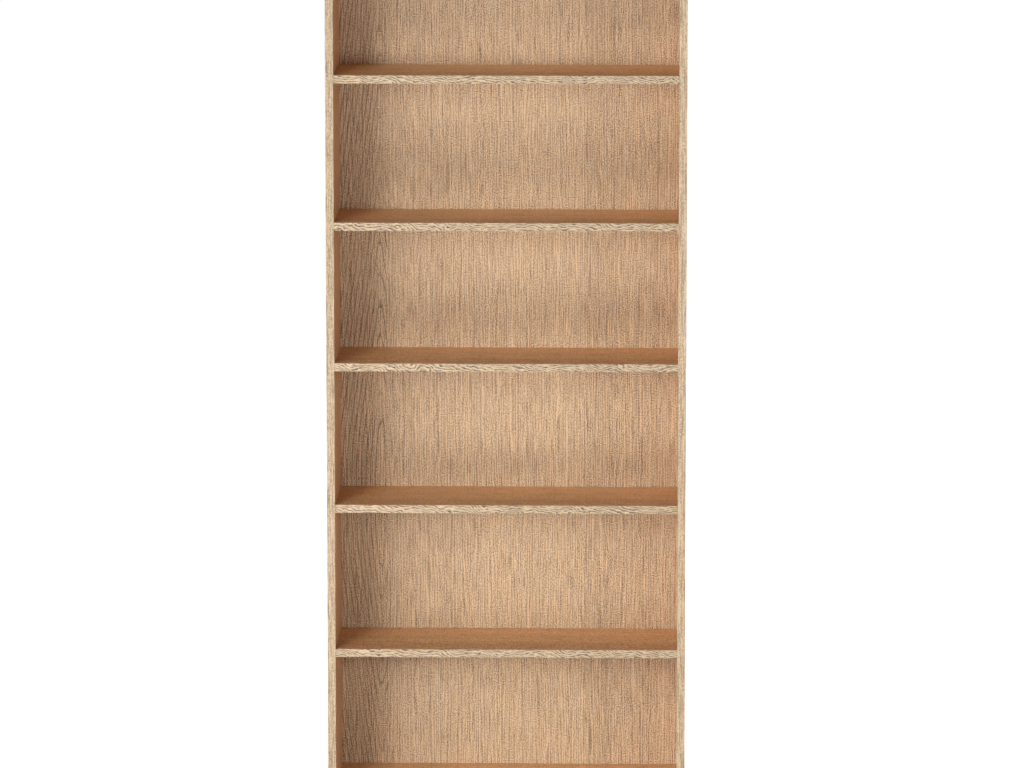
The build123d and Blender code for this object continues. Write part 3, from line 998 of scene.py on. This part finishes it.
@dataclass
class Back:
    """The thin back panel and its nails. Places are in millimetres across the panel, from its middle."""

    seed: float = 5.0
    left_joint: float = -275.0  # right end of the leaf with the crown figure
    crown_middle: float = -291.0
    painted_shade_end: float = -345.0  # right end of the strip at the left edge painted darker: painted shade, where the left side shades the back
    brown_joint: float = 170.0  # left end of the brown leaf
    right_joint: float = 245.0
    painted_glow_start: float = 338.0  # left end of the strip at the right edge painted paler: painted light, the glow of light bounced off the right side

    def dress(self) -> None:
        """Finishes the panel's oak face, its hardboard and its nails."""
        place = Place.of_node("back_panel", Lay.BACK, self.seed)
        half = place.span("X") / 2
        figure = CrownFigure(middle=self.crown_middle)
        leaves = (
            Leaf(-half, self.left_joint, tone=0.14, open_pores=0.6, crown=figure),
            # Painted shade: the strip beside the left side is darker, where the side shades the back.
            Leaf(-half, self.painted_shade_end, tone=-0.06),
            Leaf(self.brown_joint, self.right_joint, tone=-0.07),
            Leaf(self.right_joint, self.painted_glow_start, tone=-0.02),
            # Painted light: the strip beside the right side is paler, as if lit by light bounced off that
            # side.
            Leaf(self.painted_glow_start, half, tone=0.05),
        )
        panel = VeneeredBoard(SlicedOakVeneer(leaves=leaves), PressedHardboard(), one_face=True)
        dress("back_panel", panel.material("oak_veneered_back", place))
        nails = Place.of_node("back_nails", Lay.BACK)
        dress("back_nails", ZINC_PLATED_STEEL.material("zinc_plated_nails", nails))


@dataclass
class Base:
    """The plinth, its dowels and the floor glides."""

    seed: float = 9.0

    def dress(self) -> None:
        """Finishes the plinth and what it and the sides stand on."""
        board = VeneeredBoard(SlicedOakVeneer(wood="#E6BE96", shade="#7A573A"))
        dress("plinth", board.material("oak_veneered_plinth", Place.of_node("plinth", Lay.RAIL, self.seed)))
        dowels = Place.of_node("plinth_dowels", Lay.SHELF, self.seed)
        dress("plinth_dowels", TurnedBeech().material("beech_plinth_dowels", dowels))
        for corner in ("left_front", "left_rear", "right_front", "right_rear"):
            node = f"glide_{corner}"
            place = Place.of_node(node, Lay.SHELF)
            dress(node, MouldedPolyethylene().material(f"polyethylene_{node}", place))


@dataclass
class WallFixing:
    """The bracket that ties the bookcase to a wall, with its screws."""

    def dress(self) -> None:
        """Finishes the bracket and its screws."""
        bracket = Place.of_node("wall_bracket", Lay.SHELF)
        dress("wall_bracket", PRESSED_SHEET_STEEL.material("pressed_sheet_bracket", bracket))
        screws = Place.of_node("wall_bracket_screws", Lay.BACK)
        dress("wall_bracket_screws", ZINC_PLATED_STEEL.material("zinc_plated_screws", screws))


# ---- The studio ----


@dataclass
class SoftBox:
    """A large soft lamp that faces the bookcase."""

    name: str
    azimuth: float  # degrees to the right of straight in front
    distance: float  # from the bookcase, along the floor
    height: float
    wide: float
    tall: float
    level: float  # how bright a card at that distance that faces the lamp looks, where 1 is white
    aim: float = 1.0  # height of the spot on the bookcase that it faces

    def build(self, middle: Vector) -> None:
        """Hangs the lamp and turns it to the bookcase.

        Args:
            middle: The middle of the bookcase's front.
        """
        angle = math.radians(self.azimuth)
        ahead = Vector((math.sin(angle), -math.cos(angle), 0.0)) * self.distance
        place = Vector((middle.x + ahead.x, middle.y + ahead.y, self.height))
        target = Vector((middle.x, middle.y, self.aim))
        data = bpy.data.lights.new(self.name, "AREA")
        data.shape = "RECTANGLE"
        data.size, data.size_y = self.wide, self.tall
        # With this power the lamp lights a white card, at its distance and at its own height, to the level.
        data.energy = self.level * math.pi**2 * self.distance**2
        lamp = bpy.data.objects.new(self.name, data)
        lamp.location = place
        lamp.rotation_euler = (target - place).to_track_quat("-Z", "Y").to_euler()
        bpy.context.scene.collection.objects.link(lamp)
        log.info("%s hangs at %s", self.name, tuple(round(value, 2) for value in place))


@dataclass
class LongLens:
    """A camera far in front, a little above the top of the bookcase and looking down."""

    focal_length: float = 208.876  # in millimetres, as is the film's width
    film_wide: float = 36.0
    place: tuple[float, float, float] = (0.3161425, -13.201234, 2.911847)
    look_down: float = 0.1456  # in radians, as is the turn to the left
    look_left: float = 0.0232
    sees_to: float = 100.0

    def build(self) -> None:
        """Sets the camera up and takes it as the scene's own."""
        data = bpy.data.cameras.new("camera")
        data.sensor_width = self.film_wide
        data.lens = self.focal_length
        data.clip_end = self.sees_to
        camera = bpy.data.objects.new("camera", data)
        camera.location = self.place
        camera.rotation_euler = (math.pi / 2 - self.look_down, 0.0, self.look_left)
        bpy.context.scene.collection.objects.link(camera)
        bpy.context.scene.camera = camera


@dataclass
class Studio:
    """A plain pale floor under a white surround, the lamps and the camera."""

    fill: float = 0.12  # brightness of the surround as a lamp
    floor_lift: float = 0.9  # what the floor adds for the camera, so that it looks white but keeps a shadow
    floor_size: float = 120.0
    floor_paint: str = "#E8E8E8"
    surround: str = "#FFFFFF"

    def build(self) -> None:
        """Builds the whole studio."""
        low, high = CAD_BOX
        self.build_floor()
        self.build_surround()
        middle = Vector(((low.x + high.x) / 2, low.y, (low.z + high.z) / 2))
        for lamp in (
            SoftBox("key_lamp", -25.0, 5.0, height=2.15, wide=1.4, tall=1.7, level=0.39),
            SoftBox("high_lamp", -21.0, 10.0, height=10.5, wide=2.8, tall=1.6, level=0.38),
            SoftBox("side_lamp", -50.0, 5.2, height=2.8, wide=1.4, tall=3.0, level=0.21),
            SoftBox("fill_lamp", 16.0, 5.0, height=1.4, wide=4.6, tall=0.8, level=0.31),
            SoftBox("low_lamp", -42.0, 2.2, height=0.2, wide=1.4, tall=0.4, level=0.45, aim=0.15),
            SoftBox("rear_lamp", 155.0, 5.5, height=4.2, wide=3.0, tall=2.0, level=0.4, aim=1.4),
        ):
            lamp.build(middle)
        LongLens().build()

    def build_floor(self) -> None:
        """Lays the floor, which looks white to the camera and still keeps the bookcase's shadow."""
        bpy.ops.object.select_all(action="DESELECT")
        bpy.ops.mesh.primitive_plane_add(size=self.floor_size, location=(0.0, 0.0, CAD_BOX[0].z))
        floor = bpy.context.object
        floor.name = "studio_floor"
        material = bpy.data.materials.new("matt_white_floor")
        material.use_nodes = True
        tree = material.node_tree
        tree.nodes.remove(tree.nodes["Principled BSDF"])
        paint = add_node(tree, "ShaderNodeBsdfDiffuse", {"Color": linear(self.floor_paint)})
        glow = add_node(tree, "ShaderNodeEmission", {"Strength": seen_directly(tree, self.floor_lift)})
        both = add_node(tree, "ShaderNodeAddShader", {0: paint, 1: glow})
        tree.links.new(both.outputs[0], tree.nodes["Material Output"].inputs["Surface"])
        floor.data.materials.append(material)
        log.info("%s is laid", floor.name)

    def build_surround(self) -> None:
        """Makes the surround white to look at, and a soft even lamp otherwise."""
        world = bpy.data.worlds.new("white_surround")
        bpy.context.scene.world = world
        world.use_nodes = True
        tree = world.node_tree
        shown = seen_directly(tree, 1.0 - self.fill)
        level = add_node(tree, "ShaderNodeMath", {0: shown, 1: self.fill}, operation="ADD")
        background = tree.nodes["Background"]
        background.inputs["Color"].default_value = linear(self.surround)
        tree.links.new(level.outputs[0], background.inputs["Strength"])


def main() -> None:
    """Builds the studio and finishes the bookcase, piece by piece."""
    logging.basicConfig(level=logging.INFO, format="%(name)s: %(message)s")
    bpy.context.scene.view_settings.view_transform = "Standard"
    Studio().build()
    # Each board has a seed of its own, so that no two have the same figure.
    # The left strip's oak is a darker copy of the right one's: painted shade that holds back the extra light
    # of the lamps on the left.
    Side("side_left", 1.0, StraightOakBand(wood="#B9A284", shade="#846D50")).dress()
    Side("side_right", 2.0, StraightOakBand()).dress()
    for number, name in enumerate(("bottom_panel", "fixed_shelf", "top_panel")):
        FixedBoard(name, 3.0 + number).dress()
    for number in range(1, 5):
        AdjustableShelf(f"adjustable_shelf_{number}", 6.0 + number).dress()
    for group in (Back(), Base(), WallFixing()):
        group.dress()


if __name__ == "__main__":
    main()
